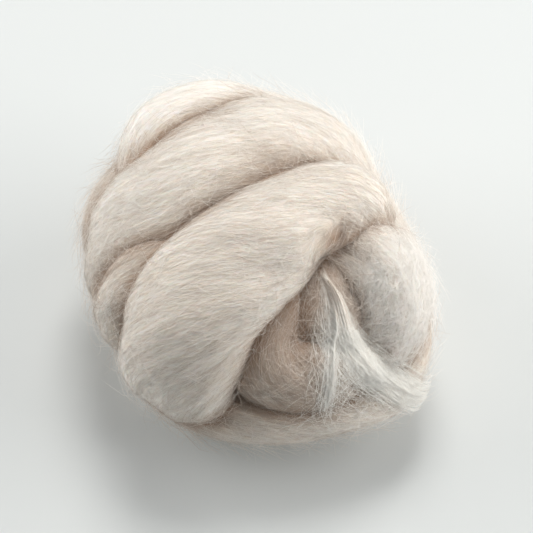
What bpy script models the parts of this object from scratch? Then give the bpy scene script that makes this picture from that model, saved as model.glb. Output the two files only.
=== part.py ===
"""A ball of combed wool roving: a soft, barely spun rope of fibre wound and folded on itself by hand.

Units are metres and +Z is up. The origin is on the surface the ball lies on, under the middle of its
box. The front of the ball is on its -Y side. Two solids make it: the wound ball, which is every wrap
of the rope fused where the wraps press together, and the loose end, a thin fan of fibre on its front.

Places on the ball are read as on a dial. The dial faces the viewer who looks down at the front of the
ball: tilt 0 is the middle of that face, tilt 90 its outline and tilt 180 the far side. Clock is the
turn round the dial, 0 at the right, 90 at the top and 180 at the left. Rise is the height above the
nominal ellipsoid of the ball.
"""

from collections import namedtuple
from math import cos, pi, radians, sin

import bmesh
import bpy
import numpy as np
from mathutils import Vector
from mathutils.bvhtree import BVHTree

# Driving dimensions of the ball.
BALL_WIDTH = 0.114
BALL_DEPTH = 0.122
BALL_HEIGHT = 0.092
BALL_MIDDLE = (0.0017, -0.0005, 0.039)
FACE_ELEVATION = 55.0

# The fibre inside the wraps, which nothing shows, set off a little from the ball's middle.
CORE_OFFSET = (-0.004, 0.002, -0.002)
CORE_HALF_SIZES = (0.043, 0.049, 0.045)
CORE_SEGMENTS = 32
CORE_RINGS = 20

# The turn of rope that the ball sits on: how far its middle is off the ball's, and how many rings draw it.
FOOT_OFFSET = (-0.002, 0.001)
FOOT_RINGS = 44

# How finely a strand is drawn, and how its two ends tuck into the ball.
STRAND_SIDES = 24
RING_PITCH = 0.0046
CURVE_STEPS = 24
TUCK_RADIUS = 0.013
TUCK_ANGLES = (28, 56, 84)
TUCK_SIZES = (0.93, 0.78, 0.55)
TIP_SHARE = 0.35
FRAME_MEMORY = 0.3

# The loose end. Its places across and down are shares of its width and its length.
FAN_THICKNESS = 0.0020
FAN_RIM_THICKNESS = 0.0012
FAN_RIM_SHARE = 0.06
FAN_RIDGE_HEIGHT = 0.0012
FAN_RIDGE_PLACES = (0.16, 0.84)
FAN_RIDGE_SHARE = 0.14
FAN_CLEARANCE = 0.0006
FAN_COLUMNS = 18
FAN_ROWS = 26
FAN_SMOOTHINGS = 6

WOOL_COLOUR = (0.80, 0.74, 0.69)
WOOL_ROUGHNESS = 0.9

Section = namedtuple("Section", "clock tilt rise width thickness")
Creases = namedtuple("Creases", "angles depth spread twist")
FootRow = namedtuple("FootRow", "turn reach height width thickness")
FanRow = namedtuple("FanRow", "left_clock left_tilt right_clock right_tilt")

# Each wrap of the rope, section by section along its middle line. A crease's angle is read where the wrap
# starts: 0 is the wrap's right side as it runs, seen from outside the ball, and 90 its crest. The rope's
# own slow twist, in degrees for each metre, carries the creases round it.
WRAPS = {
    "over_top": (
        Creases((60, 150, 290), 0.0017, 30, 1300),
        [
            Section(-20, 106, -0.015, 0.028, 0.019),
            Section(-6, 106, -0.015, 0.032, 0.020),
            Section(9, 104, -0.018, 0.034, 0.021),
            Section(25, 98, -0.022, 0.034, 0.022),
            Section(40, 91, -0.022, 0.032, 0.022),
            Section(53, 83, -0.017, 0.031, 0.022),
            Section(65, 78, -0.013, 0.035, 0.023),
            Section(77, 73, -0.011, 0.039, 0.023),
            Section(90, 67, -0.010, 0.042, 0.024),
            Section(104, 61, -0.010, 0.043, 0.024),
            Section(118, 57, -0.009, 0.043, 0.025),
            Section(133, 56, -0.009, 0.042, 0.025),
            Section(147, 58, -0.010, 0.042, 0.025),
            Section(159, 65, -0.011, 0.042, 0.025),
            Section(171, 75, -0.012, 0.041, 0.025),
            Section(182, 86, -0.012, 0.037, 0.023),
            Section(193, 96, -0.012, 0.032, 0.020),
        ],
    ),
    "under_top": (
        Creases((70, 110, 250), 0.0012, 26, 1600),
        [
            Section(166, 38, -0.013, 0.014, 0.013),
            Section(180, 43, -0.010, 0.018, 0.017),
            Section(189, 53, -0.009, 0.021, 0.019),
            Section(196, 65, -0.010, 0.022, 0.019),
            Section(203, 78, -0.011, 0.022, 0.019),
            Section(211, 90, -0.013, 0.021, 0.017),
        ],
    ),
    "across_front": (
        Creases((30, 120, 210, 300), 0.0020, 30, 2700),
        [
            Section(27, 55, -0.010, 0.023, 0.020),
            Section(31, 50, -0.008, 0.025, 0.022),
            Section(36, 44, -0.007, 0.027, 0.023),
            Section(41, 34, -0.007, 0.029, 0.025),
            Section(48, 20, -0.007, 0.031, 0.027),
            Section(72, 8, -0.007, 0.034, 0.028),
            Section(202, 14, -0.007, 0.039, 0.029),
            Section(217, 28, -0.007, 0.041, 0.029),
            Section(225, 41, -0.008, 0.041, 0.028),
            Section(231, 53, -0.009, 0.039, 0.027),
            Section(238, 64, -0.011, 0.036, 0.025),
            Section(244, 71, -0.013, 0.033, 0.023),
        ],
    ),
    "right_lobe": (
        Creases((70, 160, 250, 340), 0.0015, 30, 900),
        [
            Section(8, 40, -0.012, 0.023, 0.019),
            Section(2, 47, -0.011, 0.027, 0.021),
            Section(-5, 54, -0.011, 0.030, 0.022),
            Section(-13, 61, -0.011, 0.033, 0.022),
            Section(-22, 68, -0.011, 0.034, 0.022),
            Section(-31, 74, -0.011, 0.034, 0.021),
            Section(-41, 80, -0.012, 0.031, 0.019),
        ],
    ),
    "nest": (
        Creases((40, 140, 250), 0.0011, 28, 600),
        [
            Section(0, 30, -0.018, 0.022, 0.017),
            Section(-26, 29, -0.016, 0.027, 0.019),
            Section(-44, 34, -0.016, 0.029, 0.019),
            Section(-52, 44, -0.017, 0.028, 0.018),
        ],
    ),
    "inner_lobe": (
        Creases((80, 130), 0.0012, 18, 400),
        [
            Section(-72, 22, -0.015, 0.025, 0.018),
            Section(-85, 30, -0.014, 0.028, 0.020),
            Section(-84, 38, -0.013, 0.029, 0.020),
            Section(-76, 46, -0.013, 0.029, 0.020),
            Section(-65, 54, -0.013, 0.028, 0.020),
            Section(-54, 62, -0.013, 0.027, 0.020),
            Section(-45, 69, -0.014, 0.025, 0.018),
        ],
    ),
    "bottom_front": (
        Creases((60, 140, 270), 0.0013, 28, 1600),
        [
            Section(210, 106, -0.012, 0.026, 0.017),
            Section(224, 92, -0.009, 0.028, 0.018),
            Section(239, 80, -0.009, 0.028, 0.019),
            Section(254, 73, -0.009, 0.028, 0.019),
            Section(270, 70, -0.009, 0.028, 0.019),
            Section(286, 72, -0.008, 0.028, 0.019),
            Section(301, 76, -0.005, 0.028, 0.019),
            Section(314, 82, -0.002, 0.028, 0.019),
            Section(327, 90, -0.005, 0.028, 0.019),
            Section(342, 101, -0.011, 0.027, 0.018),
            Section(356, 112, -0.014, 0.026, 0.017),
        ],
    ),
    "shoulder": (
        Creases((50, 150, 270), 0.0015, 28, 1600),
        [
            Section(20, 135, -0.017, 0.026, 0.020),
            Section(40, 129, -0.014, 0.030, 0.022),
            Section(58, 122, -0.013, 0.030, 0.023),
            Section(74, 114, -0.015, 0.029, 0.023),
            Section(87, 106, -0.014, 0.027, 0.022),
            Section(99, 98, -0.010, 0.027, 0.021),
            Section(110, 90, -0.005, 0.029, 0.021),
            Section(120, 86, -0.003, 0.031, 0.021),
            Section(129, 83, -0.003, 0.031, 0.021),
            Section(137, 81, -0.006, 0.029, 0.020),
        ],
    ),
    "rim_left": (
        Creases((60, 150, 270), 0.0013, 28, 1600),
        [
            Section(108, 118, -0.012, 0.026, 0.019),
            Section(124, 110, -0.009, 0.028, 0.020),
            Section(138, 102, -0.011, 0.028, 0.020),
            Section(150, 96, -0.010, 0.028, 0.020),
            Section(162, 95, -0.008, 0.028, 0.020),
            Section(175, 99, -0.010, 0.028, 0.020),
            Section(188, 106, -0.012, 0.027, 0.018),
        ],
    ),
    "across_back": (
        Creases((60, 150, 280), 0.0016, 30, 1600),
        [
            Section(4, 122, -0.015, 0.030, 0.020),
            Section(24, 136, -0.012, 0.036, 0.022),
            Section(55, 147, -0.011, 0.040, 0.024),
            Section(95, 144, -0.011, 0.042, 0.024),
            Section(122, 132, -0.010, 0.041, 0.024),
            Section(140, 121, -0.010, 0.038, 0.023),
            Section(156, 114, -0.011, 0.032, 0.022),
            Section(172, 112, -0.013, 0.028, 0.020),
        ],
    ),
    "base_back": (
        Creases((60, 170, 280), 0.0013, 28, 1600),
        [
            Section(-20, 108, -0.012, 0.026, 0.017),
            Section(-10, 116, -0.009, 0.029, 0.018),
            Section(4, 128, -0.008, 0.031, 0.018),
            Section(26, 143, -0.008, 0.032, 0.018),
            Section(62, 155, -0.008, 0.032, 0.018),
            Section(110, 156, -0.008, 0.032, 0.018),
            Section(148, 146, -0.008, 0.032, 0.018),
            Section(173, 132, -0.008, 0.031, 0.018),
            Section(188, 120, -0.009, 0.029, 0.018),
            Section(198, 110, -0.012, 0.026, 0.017),
        ],
    ),
}

# The closed loop of rope under the ball, by its turn from +X, each row at its reach from the middle.
FOOT = [
    FootRow(0, 0.032, 0.007, 0.024, 0.019),
    FootRow(50, 0.035, 0.006, 0.026, 0.018),
    FootRow(95, 0.036, 0.008, 0.025, 0.021),
    FootRow(140, 0.034, 0.006, 0.024, 0.018),
    FootRow(185, 0.031, 0.008, 0.026, 0.020),
    FootRow(230, 0.034, 0.006, 0.025, 0.018),
    FootRow(275, 0.036, 0.007, 0.023, 0.019),
    FootRow(318, 0.035, 0.006, 0.025, 0.018),
]

# The loose end, row by row from its root to its tips, from its left edge to its right one.
FAN = [
    FanRow(-20, 21, -13, 27),
    FanRow(-31, 25, -25, 33),
    FanRow(-43, 31, -36, 42),
    FanRow(-52, 37, -39, 52),
    FanRow(-61, 47, -40, 63),
    FanRow(-69, 60, -40, 77),
]


def wool(name):
    """A soft fibre finish: rough, with no gloss."""
    material = bpy.data.materials.new(name)
    material.use_nodes = True
    shader = material.node_tree.nodes["Principled BSDF"]
    shader.inputs["Base Color"].default_value = (*WOOL_COLOUR, 1.0)
    shader.inputs["Roughness"].default_value = WOOL_ROUGHNESS
    shader.inputs["Metallic"].default_value = 0.0
    return material


def unit(vector):
    return vector / np.linalg.norm(vector)


def square_to(vector, axis):
    """The part of the vector that is square to the axis."""
    return vector - axis * np.dot(vector, axis)


def dial_axes():
    """The dial's own axes: to its right, up its face, and out of it towards the viewer."""
    lift = radians(FACE_ELEVATION)
    across = np.array([1.0, 0.0, 0.0])
    up_face = np.array([0.0, sin(lift), cos(lift)])
    outward = np.array([0.0, -cos(lift), sin(lift)])
    return across, up_face, outward


ACROSS, UP_FACE, OUTWARD = dial_axes()
MIDDLE = np.array(BALL_MIDDLE)
HALF_SIZES = np.array([BALL_WIDTH, BALL_DEPTH, BALL_HEIGHT]) / 2


def direction(clock, tilt):
    turn, lean = radians(clock), radians(tilt)
    return ACROSS * sin(lean) * cos(turn) + UP_FACE * sin(lean) * sin(turn) + OUTWARD * cos(lean)


def ball_point(clock, tilt, rise):
    """The point in that direction from the middle, that far above the nominal ellipsoid."""
    ray = direction(clock, tilt)
    return MIDDLE + ray * (1.0 / np.linalg.norm(ray / HALF_SIZES) + rise)


def outward_normal(point):
    return unit((point - MIDDLE) / HALF_SIZES**2)


def section_rows(sections):
    """A row for each section: its point, width and thickness."""
    return [np.array([*ball_point(s.clock, s.tilt, s.rise), s.width, s.thickness]) for s in sections]


def tuck_rows(end, inner):
    """The rows by which a strand turns down into the ball past its end row, growing thinner."""
    onward = unit(end[:3] - inner[:3])
    inward = -unit(square_to(outward_normal(end[:3]), onward))
    rows = []
    for angle, size in zip(TUCK_ANGLES, TUCK_SIZES):
        turn = radians(angle)
        point = end[:3] + TUCK_RADIUS * (onward * sin(turn) + inward * (1.0 - cos(turn)))
        rows.append(np.array([*point, *end[3:] * size]))
    return rows


def smooth_rows(rows):
    """Rows along a Catmull-Rom curve through the given ones, a ring pitch apart."""
    rows = np.asarray(rows, dtype=float)
    padded = np.vstack([2 * rows[0] - rows[1], rows, 2 * rows[-1] - rows[-2]])
    fine = []
    for before, start, end, after in zip(padded, padded[1:], padded[2:], padded[3:]):
        for t in np.linspace(0.0, 1.0, CURVE_STEPS, endpoint=False):
            bend = 2 * before - 5 * start + 4 * end - after
            swing = 3 * (start - end) + after - before
            fine.append(start + 0.5 * t * ((end - before) + t * (bend + t * swing)))
    fine = np.array(fine + [rows[-1]])
    steps = np.linalg.norm(np.diff(fine[:, :3], axis=0), axis=1)
    run = np.concatenate([[0.0], np.cumsum(steps)])
    places = np.linspace(0.0, run[-1], round(run[-1] / RING_PITCH) + 1)
    return np.column_stack([np.interp(places, run, column) for column in fine.T])


def ring_frames(points):
    """Each ring's direction along the strand and its lift, carried from the middle ring to both ends."""
    along = [unit(tangent) for tangent in np.gradient(points, axis=0)]
    middle = len(points) // 2
    lifts = [None] * len(points)
    lifts[middle] = unit(square_to(outward_normal(points[middle]), along[middle]))
    onward = [(here, here - 1) for here in range(middle + 1, len(points))]
    backward = [(here, here + 1) for here in range(middle - 1, -1, -1)]
    for here, before in onward + backward:
        wanted = square_to(outward_normal(points[here]), along[here])
        kept = square_to(lifts[before], along[here])
        lifts[here] = unit(wanted * np.linalg.norm(wanted) + FRAME_MEMORY * kept)
    return along, lifts


def crease_share(angle, creases):
    """How much of the crease depth is taken off at this angle round the strand, in degrees."""
    share = 0.0
    for crease in creases.angles:
        gap = (angle - crease + 180.0) % 360.0 - 180.0
        share = max(share, 1.0 - abs(gap) / creases.spread)
    return share


def strand_rings(creases, sections):
    """The rings of points round one strand, its tucked ends included."""
    rows = section_rows(sections)
    start = tuck_rows(rows[0], rows[1])[::-1]
    rows = smooth_rows(start + rows + tuck_rows(rows[-1], rows[-2]))
    along, lifts = ring_frames(rows[:, :3])
    rings = []
    for index, (row, forward, lift) in enumerate(zip(rows, along, lifts)):
        side = np.cross(forward, lift)
        twist = creases.twist * RING_PITCH * index
        ring = []
        for step in range(STRAND_SIDES):
            turn = 360.0 * step / STRAND_SIDES
            cut = creases.depth * crease_share(turn + twist, creases)
            across = cos(radians(turn)) * (row[3] / 2 - cut)
            above = sin(radians(turn)) * (row[4] / 2 - cut)
            ring.append(row[:3] + side * across + lift * above)
        rings.append(ring)
    return rings


def mesh_object(name, points, faces, material):
    build = bmesh.new()
    corners = [build.verts.new(Vector(point)) for point in points]
    for face in faces:
        build.faces.new([corners[index] for index in face])
    bmesh.ops.recalc_face_normals(build, faces=build.faces)
    mesh = bpy.data.meshes.new(name)
    build.to_mesh(mesh)
    build.free()
    mesh.materials.append(material)
    thing = bpy.data.objects.new(name, mesh)
    bpy.context.scene.collection.objects.link(thing)
    return thing


def strand(name, creases, sections, material):
    """One wrap of the rope: rings of points, closed by a small cone at each end."""
    rings = strand_rings(creases, sections)
    points = [point for ring in rings for point in ring]
    beside = [(step + 1) % STRAND_SIDES for step in range(STRAND_SIDES)]
    faces = []
    for row in range(len(rings) - 1):
        low, high = row * STRAND_SIDES, (row + 1) * STRAND_SIDES
        for step in range(STRAND_SIDES):
            faces.append((low + step, low + beside[step], high + beside[step], high + step))
    for end, inner in ((0, 1), (len(rings) - 1, len(rings) - 2)):
        middle = np.mean(rings[end], axis=0)
        points.append(middle + (middle - np.mean(rings[inner], axis=0)) * TIP_SHARE)
        low = end * STRAND_SIDES
        for step in range(STRAND_SIDES):
            faces.append((low + step, low + beside[step], len(points) - 1))
    return mesh_object(name, points, faces, material)


def core(name, material):
    """The hidden middle of the ball, an ellipsoid that the wraps cover."""
    build = bmesh.new()
    bmesh.ops.create_uvsphere(build, u_segments=CORE_SEGMENTS, v_segments=CORE_RINGS, radius=1.0)
    points = [MIDDLE + CORE_OFFSET + np.array(v.co) * CORE_HALF_SIZES for v in build.verts]
    faces = [[v.index for v in face.verts] for face in build.faces]
    build.free()
    return mesh_object(name, points, faces, material)


def floor_block(material):
    """A block that takes away all that lies under the surface the ball rests on."""
    size = 2 * BALL_DEPTH
    points = [(x, y, z) for z in (-size, 0.0) for y in (-size, size) for x in (-size, size)]
    faces = [(0, 2, 3, 1), (4, 5, 7, 6), (0, 1, 5, 4), (2, 6, 7, 3), (0, 4, 6, 2), (1, 3, 7, 5)]
    return mesh_object("floor_block", points, faces, material)


def foot_ring(turn, reach, height, width, thickness):
    """The points of one ring of the loop under the ball."""
    outward = np.array([cos(radians(turn)), sin(radians(turn)), 0.0])
    middle = np.array([*(MIDDLE[:2] + FOOT_OFFSET), height]) + outward * reach
    ring = []
    for step in range(STRAND_SIDES):
        around = 2 * pi * step / STRAND_SIDES
        lift = np.array([0.0, 0.0, sin(around) * thickness / 2])
        ring.append(middle + outward * cos(around) * width / 2 + lift)
    return ring


def foot(material):
    """The closed loop of rope under the ball."""
    turns = np.array([row.turn for row in FOOT] + [FOOT[0].turn + 360.0])
    columns = np.array([row[1:] for row in FOOT] + [FOOT[0][1:]]).T
    points, faces = [], []
    for ring in range(FOOT_RINGS):
        turn = 360.0 * ring / FOOT_RINGS
        points += foot_ring(turn, *[np.interp(turn, turns, column) for column in columns])
        low, high = ring * STRAND_SIDES, (ring + 1) % FOOT_RINGS * STRAND_SIDES
        for step in range(STRAND_SIDES):
            beside = (step + 1) % STRAND_SIDES
            faces.append((low + step, low + beside, high + beside, high + step))
    return mesh_object("foot", points, faces, material)


def combine(body, tool, operation):
    """Fuse the tool into the body, or cut it away, and remove the tool."""
    change = body.modifiers.new(operation.lower(), "BOOLEAN")
    change.operation = operation
    change.solver = "EXACT"
    change.use_self = True
    change.object = tool
    shaped = bpy.data.meshes.new_from_object(body.evaluated_get(bpy.context.evaluated_depsgraph_get()))
    body.modifiers.remove(change)
    body.data = shaped
    bpy.data.objects.remove(tool)


def connected_faces(first):
    """All the faces that can be reached from the first one over shared edges."""
    found = {first}
    waiting = [first]
    while waiting:
        for edge in waiting.pop().edges:
            fresh = [face for face in edge.link_faces if face not in found]
            found.update(fresh)
            waiting.extend(fresh)
    return found


def fill_pockets(body):
    """Keep only the outer surface, which fills any pocket that is shut in between the wraps."""
    build = bmesh.new()
    build.from_mesh(body.data)
    build.verts.ensure_lookup_table()
    highest = max(build.verts, key=lambda vert: vert.co.z)
    outside = connected_faces(highest.link_faces[0])
    bmesh.ops.delete(build, geom=[face for face in build.faces if face not in outside], context="FACES")
    build.to_mesh(body.data)
    build.free()


def wound_ball(material):
    """Every wrap of the rope and the fibre inside, fused into one solid with a flat spot underneath."""
    ball = core("wound_ball", material)
    for name, (creases, sections) in WRAPS.items():
        combine(ball, strand(name, creases, sections, material), "UNION")
    combine(ball, foot(material), "UNION")
    combine(ball, floor_block(material), "DIFFERENCE")
    fill_pockets(ball)
    return ball


def fan_rays():
    """A grid of directions over the loose end, a row of them for each step from root to tips."""
    edges = [[*direction(r.left_clock, r.left_tilt), *direction(r.right_clock, r.right_tilt)] for r in FAN]
    places = np.linspace(0, len(FAN) - 1, FAN_ROWS)
    edges = np.column_stack([np.interp(places, range(len(FAN)), column) for column in np.array(edges).T])
    shares = np.linspace(0.0, 1.0, FAN_COLUMNS)
    return [[unit(edge[:3] * (1 - share) + edge[3:] * share) for share in shares] for edge in edges]


def fan_floor(rays, ball):
    """How far out the fan's underside is along each ray: over the ball, without its smallest hollows."""
    tree = BVHTree.FromObject(ball, bpy.context.evaluated_depsgraph_get())
    far = 2 * BALL_DEPTH
    reach = np.zeros((FAN_ROWS, FAN_COLUMNS))
    for row, line in enumerate(rays):
        for column, ray in enumerate(line):
            hit = tree.ray_cast(Vector(MIDDLE + ray * far), Vector(-ray))
            reach[row, column] = far - hit[3]
    lowest = reach.copy()
    for shift in ((0, 1), (0, -1), (1, 0), (-1, 0), (1, 1), (-1, -1), (1, -1), (-1, 1)):
        moved = np.roll(np.pad(reach, 1, mode="edge"), shift, axis=(0, 1))[1:-1, 1:-1]
        lowest = np.maximum(lowest, moved)
    smooth = lowest.copy()
    for _ in range(FAN_SMOOTHINGS):
        wide = np.pad(smooth, 1, mode="edge")
        mean = (wide[:-2, 1:-1] + wide[2:, 1:-1] + wide[1:-1, :-2] + wide[1:-1, 2:]) / 4
        smooth = np.maximum(lowest, mean)
    return smooth + FAN_CLEARANCE


def fan_depth(down, across):
    """The fan's thickness: a thin veil with a ridge along each edge, thinner at its rim."""
    off_ridge = min(abs(across - place) for place in FAN_RIDGE_PLACES)
    ridge = FAN_RIDGE_HEIGHT * max(0.0, 1 - off_ridge / FAN_RIDGE_SHARE)
    from_rim = min(across, 1 - across, down, 1 - down)
    full = min(1.0, from_rim / FAN_RIM_SHARE)
    return FAN_RIM_THICKNESS + (FAN_THICKNESS - FAN_RIM_THICKNESS + ridge) * full


def loose_end(ball, material):
    """The loose end of the rope, opened out into a thin fan that lies on the front of the ball."""
    rays = fan_rays()
    under = fan_floor(rays, ball)
    inner, outer = [], []
    for row, line in enumerate(rays):
        for column, ray in enumerate(line):
            depth = fan_depth(row / (FAN_ROWS - 1), column / (FAN_COLUMNS - 1))
            inner.append(MIDDLE + ray * under[row, column])
            outer.append(MIDDLE + ray * (under[row, column] + depth))
    count = len(inner)
    faces = []
    for row in range(FAN_ROWS - 1):
        for column in range(FAN_COLUMNS - 1):
            corner = row * FAN_COLUMNS + column
            face = (corner, corner + 1, corner + FAN_COLUMNS + 1, corner + FAN_COLUMNS)
            faces.append(face)
            faces.append(tuple(index + count for index in face[::-1]))
    last_row = (FAN_ROWS - 1) * FAN_COLUMNS
    rim = list(range(FAN_COLUMNS))
    rim += [row * FAN_COLUMNS + FAN_COLUMNS - 1 for row in range(1, FAN_ROWS)]
    rim += [last_row + column for column in range(FAN_COLUMNS - 2, -1, -1)]
    rim += [row * FAN_COLUMNS for row in range(FAN_ROWS - 2, 0, -1)]
    for here, after in zip(rim, rim[1:] + rim[:1]):
        faces.append((here, after, after + count, here + count))
    return mesh_object("loose_end", inner + outer, faces, material)


def main():
    for thing in list(bpy.data.objects):
        bpy.data.objects.remove(thing)
    fibre = wool("wool")
    ball = wound_ball(fibre)
    loose_end(ball, fibre)


main()
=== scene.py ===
"""The looks of a ball of combed wool roving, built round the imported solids.

Units are metres but for two tables, and +Z is up. Every wrap of the rope is a fine closed strand whose
locks of fibre run with the rope's slow twist, with fibres that lie on it, cross it and stand off it. The
loose end is a thin fan of wool with brighter threads on it. Places on the ball are read as on a dial that
faces the viewer: clock is the turn round the dial, tilt the angle from its middle, and rise the height
above the nominal ellipsoid. A place on a strand is its run along it and its angle around it: 0 is the
strand's right side as it runs, and 90 its crest.
"""

from collections import namedtuple
from math import cos, pi, radians, sin

import bpy
import numpy as np
from mathutils import Matrix, Vector
from mathutils.bvhtree import BVHTree


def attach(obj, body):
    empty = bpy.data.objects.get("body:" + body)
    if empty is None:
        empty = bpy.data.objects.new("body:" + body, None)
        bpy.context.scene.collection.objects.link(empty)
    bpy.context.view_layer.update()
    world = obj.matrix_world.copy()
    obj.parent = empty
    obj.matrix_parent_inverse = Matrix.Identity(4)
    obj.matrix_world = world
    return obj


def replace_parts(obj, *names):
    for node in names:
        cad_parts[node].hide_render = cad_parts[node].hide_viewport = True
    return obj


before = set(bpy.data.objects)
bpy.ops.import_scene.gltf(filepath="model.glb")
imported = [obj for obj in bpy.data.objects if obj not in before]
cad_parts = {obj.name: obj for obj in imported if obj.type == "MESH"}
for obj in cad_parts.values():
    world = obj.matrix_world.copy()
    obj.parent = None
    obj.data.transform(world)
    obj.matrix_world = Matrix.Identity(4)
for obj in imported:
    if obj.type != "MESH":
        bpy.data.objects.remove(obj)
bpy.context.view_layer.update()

BODY = "root"

# The ball and its rope, as in the part's source.
BALL_WIDTH = 0.114
BALL_DEPTH = 0.122
BALL_HEIGHT = 0.092
BALL_MIDDLE = (0.0017, -0.0005, 0.039)
FACE_ELEVATION = 55.0
CORE_OFFSET = (-0.004, 0.002, -0.002)
CORE_HALF_SIZES = (0.043, 0.049, 0.045)
FOOT_OFFSET = (-0.002, 0.001)
FRAME_PITCH = 0.0046
CURVE_STEPS = 24
TUCK_RADIUS = 0.013
TUCK_ANGLES = (28, 56, 84)
TUCK_SIZES = (0.93, 0.78, 0.55)
TIP_SHARE = 0.35
FRAME_MEMORY = 0.3

# How finely the strands are drawn here, how near its ends the core is drawn, and the gap to the floor.
RING_PITCH = 0.0016
STRAND_SIDES = 60
CORE_END = 0.985
FLOOR_GAP = 0.0002

Creases = namedtuple("Creases", "angles depth spread twist")
Strand = namedtuple(
    "Strand", "name run centre along side lift half_width half_thickness creases seed closed"
)
Lock = namedtuple("Lock", "count height")
Pinch = namedtuple("Pinch", "run around")
Hollow = namedtuple("Hollow", "run around reach depth")
Kind = namedtuple("Kind", "lengths radii bows stands spread wander steps tone skyward")
Bundle = namedtuple("Bundle", "fibres spread lift end rows")
Fan = namedtuple("Fan", "ground depth material draw")
Fray = namedtuple("Fray", "depth rate start")
Finish = namedtuple("Finish", "roughness sheen scatter")
Noise = namedtuple("Noise", "scale detail distortion")
Lamp = namedtuple("Lamp", "name place size power")

# The locks of fibre along a strand: how many go round it, and how far they stand out. Each row of locks
# sways round the strand and swells along it, over lengths that are drawn for it.
LOCKS = (Lock(3, 0.00040), Lock(5, 0.00030), Lock(8, 0.00020), Lock(13, 0.00011), Lock(21, 0.00005))
LOCK_LENGTHS = (0.045, 0.110)
LOCK_SWAY = 1.4
LOCK_SWELL = 0.3
CREASE_SOFTENING = 0.55

# Where the wraps gather a strand tight, its fibres run together to one point. Their heading is read over
# FLOW_PROBE to each side of a place.
PINCHES = {"across_front": Pinch(0.0435, 146)}
PINCH_NEAR = 0.001
PINCH_FAR = 0.009
FLOW_PROBE = 0.0001

# Painted shade: a strand is painted darker and warmer where it nears a neighbour, within this distance,
# and in the hollows where the wraps dive into the ball. Wraps that lie deep in the ball, and the front
# wrap, are painted darker all over as shade; a value below the open one paints a wrap lighter, as painted
# light.
PAINTED_SHADE_REACH = 0.0048
HOLLOWS = {
    "across_front": Hollow(0.0410, 156, 0.0150, 0.0016),
    "right_lobe": Hollow(0.0150, 72, 0.0155, 0.0020),
    "nest": Hollow(0.0220, 92, 0.0150, 0.0010),
    "inner_lobe": Hollow(0.0290, 156, 0.0150, 0.0030),
}
OPEN_PAINTED_SHADE = 0.10
PAINTED_LIGHT_AND_SHADE = {
    "across_front": 0.20,
    "right_lobe": -0.45,
    "nest": 0.66,
    "inner_lobe": 0.72,
    "bottom_front": 0.28,
    "shoulder": -0.45,
}

# The kinds of fibre: those that lie in a strand's coat, those that cross it, those that stand off it and
# the short frizz. A bow is a fibre's height in its middle, a stand its height at its far end. Spread and
# wander are how widely its lean, in degrees, and its drift to the side are drawn.
KINDS = {
    "coat": Kind((0.012, 0.024), (22e-6, 45e-6), (3e-5, 3e-4), (0.0, 0.0), 10, 0.0004, 6, 0.66, 0.3),
    "crossing": Kind((0.005, 0.011), (20e-6, 38e-6), (1e-4, 7e-4), (0.0, 6e-4), 30, 0.0008, 6, 0.78, 0.4),
    "standing": Kind((0.007, 0.020), (20e-6, 35e-6), (0.0, 6e-4), (0.001, 0.008), 60, 0.0016, 6, 0.80, 0.8),
    "frizz": Kind((0.006, 0.013), (15e-6, 30e-6), (3e-4, 0.0018), (5e-4, 0.003), 90, 0.0022, 7, 0.90, 0.8),
}

# A thread's sides and how round it looks, the rise over which the way out of a rope is read, how tones
# vary and fall with the painted shade in a crease, and how deep under the skin a root lies and a middle may
# be.
THREAD_SIDES = 3
THREAD_TURN = 0.25
THREAD_ROUNDNESS = 1.1
OUT_PROBE = 0.003
TONE_SPREAD = 0.17
PAINTED_SHADE_FALL = 0.75
ROOT_DEPTH = 0.00012
BURIED_DEPTH = 0.0004
TRIES = 12
FIBRE_SEED = 100

# The pieces' maps: the margin round them, and how a thread's tone and its sides are laid across its own.
MAP_MARGIN = 0.01
TONE_WIDTH = 0.93
SIDE_WIDTH = 0.015
THREAD_MARGIN = 0.02

# How many fibres of each kind lie on each strand.
Counts = namedtuple("Counts", KINDS)
FIBRES = {
    "over_top": Counts(2700, 2000, 1000, 60),
    "under_top": Counts(450, 300, 100, 60),
    "across_front": Counts(2800, 1700, 420, 30),
    "right_lobe": Counts(1300, 1400, 900, 1100),
    "nest": Counts(700, 900, 0, 250),
    "inner_lobe": Counts(900, 600, 40, 130),
    "bottom_front": Counts(1100, 800, 1000, 500),
    "shoulder": Counts(900, 600, 450, 60),
    "rim_left": Counts(600, 450, 550, 120),
    "across_back": Counts(1000, 500, 350, 30),
    "base_back": Counts(550, 300, 250, 30),
    "foot": Counts(200, 60, 60, 0),
    "core": Counts(150, 30, 0, 0),
}

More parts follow.
